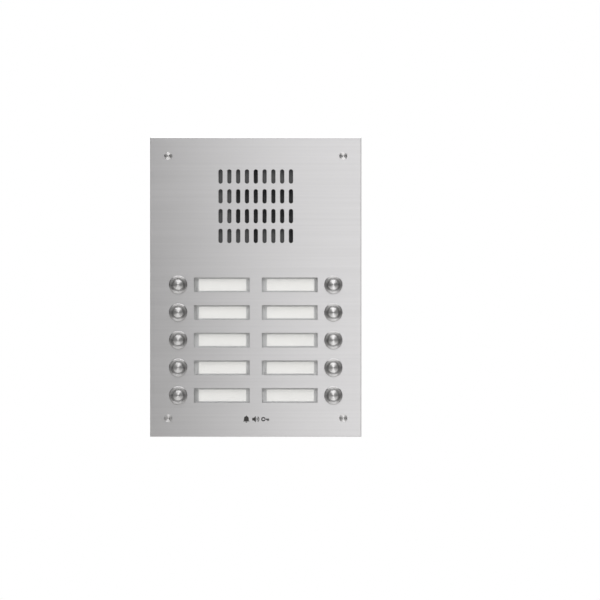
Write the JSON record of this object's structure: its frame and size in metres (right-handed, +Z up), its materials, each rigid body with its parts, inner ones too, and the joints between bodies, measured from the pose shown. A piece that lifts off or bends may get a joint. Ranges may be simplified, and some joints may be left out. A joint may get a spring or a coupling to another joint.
{
  "type": "door intercom panel",
  "caption": "Flush-mounted door intercom panel: brushed steel plate with sound slots, two columns of call buttons, lit name windows, a speech unit and a wall box behind.",
  "frame": {"origin": "centre of the panel on the wall's surface, where the gasket's rear face meets the wall", "axes": "+X to the right as seen from in front, +Y into the wall, +Z up; the plate's front faces -Y"},
  "size_m": [0.229, 0.0559, 0.325],
  "materials": {
    "brushed_stainless": "sheet brushed from side to side",
    "turned_stainless": "lathe turned, fine rings",
    "screw_steel": "turned stainless screw",
    "stainless_stud": "plain stainless stud",
    "spring_steel": "drawn spring wire",
    "zinc_plated_steel": "bright zinc plating",
    "galvanised_steel": "hot-dip galvanised sheet with a faint spangle",
    "foam_rubber": "closed-cell foam",
    "black_rubber": "moulded, matt",
    "clear_polycarbonate": "clear moulding",
    "white_card": "uncoated card",
    "opal_plastic": "opal moulding",
    "lamp_resin": "clear resin over the chip",
    "grey_abs": "fine moulded grain",
    "dark_abs": "fine moulded grain",
    "black_plastic": "moulded",
    "nylon": "natural nylon",
    "trimmer_blue": "moulded",
    "green_board": "solder mask over glass-fibre board",
    "green_terminal": "moulded",
    "black_mesh": "woven polyester mesh",
    "basket_steel": "black lacquer on pressed steel",
    "magnet_ferrite": "ferrite ring between plated steel plates",
    "cone_paper": "pressed black paper",
    "suspension_cloth": "treated cloth",
    "capsule_aluminium": "drawn can",
    "lead_sheath": "soft grey sheath"
  },
  "bodies": {
    "panel": {"back_box": "galvanised_steel", "board_leads": "lead_sheath", "board_spacers": "nylon", "button_board_left": "green_board", "button_board_right": "green_board", "button_collars": "turned_stainless", "button_nuts": "zinc_plated_steel", "button_spring_l1": "spring_steel", "button_spring_l2": "spring_steel", "button_spring_l3": "spring_steel", "button_spring_l4": "spring_steel", "button_spring_l5": "spring_steel", "button_spring_r1": "spring_steel", "button_spring_r2": "spring_steel", "button_spring_r3": "spring_steel", "button_spring_r4": "spring_steel", "button_spring_r5": "spring_steel", "button_switches": "black_plastic", "cable_grommets": "black_rubber", "card_holder_left": "grey_abs", "card_holder_right": "grey_abs", "card_lamps": "lamp_resin", "case_screws": "zinc_plated_steel", "cone_suspension": "suspension_cloth", "front_plate": "brushed_stainless", "lead_plugs": "nylon", "light_diffusers": "opal_plastic", "microphone": "capsule_aluminium", "microphone_boot": "black_rubber", "name_cards": "white_card", "name_windows": "clear_polycarbonate", "plate_gasket": "foam_rubber", "plate_screws": "screw_steel", "rivet_nuts": "zinc_plated_steel", "sealing_rings": "black_rubber", "speaker_basket": "basket_steel", "speaker_magnet": "magnet_ferrite", "speaker_mesh": "black_mesh", "speech_board": "green_board", "speech_case": "dark_abs", "speech_front": "dark_abs", "speech_gasket": "foam_rubber", "stud_nuts": "zinc_plated_steel", "terminal_blocks": "green_terminal", "terminal_screws": "zinc_plated_steel", "trimmer_bodies": "trimmer_blue", "weld_studs": "stainless_stud"},
    "button_l1": {"button_cap_l1": "turned_stainless"},
    "button_l2": {"button_cap_l2": "turned_stainless"},
    "button_l3": {"button_cap_l3": "turned_stainless"},
    "button_l4": {"button_cap_l4": "turned_stainless"},
    "button_l5": {"button_cap_l5": "turned_stainless"},
    "button_r1": {"button_cap_r1": "turned_stainless"},
    "button_r2": {"button_cap_r2": "turned_stainless"},
    "button_r3": {"button_cap_r3": "turned_stainless"},
    "button_r4": {"button_cap_r4": "turned_stainless"},
    "button_r5": {"button_cap_r5": "turned_stainless"},
    "speaker_cone": {"speaker_cone": "cone_paper"},
    "speaker_trimmer": {"speaker_trimmer": "nylon"},
    "microphone_trimmer": {"microphone_trimmer": "nylon"}
  },
  "joints": [
    {"name": "press_l1", "type": "slide", "parent": "panel", "child": "button_l1", "axis": [0, 1, 0], "range_m": [0, 0.0015], "stiffness_N_per_m": 800, "springref_m": -0.0015, "deforming": ["button_spring_l1"]},
    {"name": "press_l2", "type": "slide", "parent": "panel", "child": "button_l2", "axis": [0, 1, 0], "range_m": [0, 0.0015], "stiffness_N_per_m": 800, "springref_m": -0.0015, "deforming": ["button_spring_l2"]},
    {"name": "press_l3", "type": "slide", "parent": "panel", "child": "button_l3", "axis": [0, 1, 0], "range_m": [0, 0.0015], "stiffness_N_per_m": 800, "springref_m": -0.0015, "deforming": ["button_spring_l3"]},
    {"name": "press_l4", "type": "slide", "parent": "panel", "child": "button_l4", "axis": [0, 1, 0], "range_m": [0, 0.0015], "stiffness_N_per_m": 800, "springref_m": -0.0015, "deforming": ["button_spring_l4"]},
    {"name": "press_l5", "type": "slide", "parent": "panel", "child": "button_l5", "axis": [0, 1, 0], "range_m": [0, 0.0015], "stiffness_N_per_m": 800, "springref_m": -0.0015, "deforming": ["button_spring_l5"]},
    {"name": "press_r1", "type": "slide", "parent": "panel", "child": "button_r1", "axis": [0, 1, 0], "range_m": [0, 0.0015], "stiffness_N_per_m": 800, "springref_m": -0.0015, "deforming": ["button_spring_r1"]},
    {"name": "press_r2", "type": "slide", "parent": "panel", "child": "button_r2", "axis": [0, 1, 0], "range_m": [0, 0.0015], "stiffness_N_per_m": 800, "springref_m": -0.0015, "deforming": ["button_spring_r2"]},
    {"name": "press_r3", "type": "slide", "parent": "panel", "child": "button_r3", "axis": [0, 1, 0], "range_m": [0, 0.0015], "stiffness_N_per_m": 800, "springref_m": -0.0015, "deforming": ["button_spring_r3"]},
    {"name": "press_r4", "type": "slide", "parent": "panel", "child": "button_r4", "axis": [0, 1, 0], "range_m": [0, 0.0015], "stiffness_N_per_m": 800, "springref_m": -0.0015, "deforming": ["button_spring_r4"]},
    {"name": "press_r5", "type": "slide", "parent": "panel", "child": "button_r5", "axis": [0, 1, 0], "range_m": [0, 0.0015], "stiffness_N_per_m": 800, "springref_m": -0.0015, "deforming": ["button_spring_r5"]},
    {"name": "cone_travel", "type": "slide", "parent": "panel", "child": "speaker_cone", "axis": [0, 1, 0], "range_m": [-0.0005, 0.0005], "stiffness_N_per_m": 2500, "deforming": ["cone_suspension"]},
    {"name": "speaker_volume", "type": "hinge", "parent": "panel", "child": "speaker_trimmer", "pos_m": [0.02, 0.0327, 0.10975], "axis": [0, 1, 0], "range_deg": [-135, 135]},
    {"name": "microphone_volume", "type": "hinge", "parent": "panel", "child": "microphone_trimmer", "pos_m": [-0.02, 0.0327, 0.10975], "axis": [0, 1, 0], "range_deg": [-135, 135]}
  ]
}
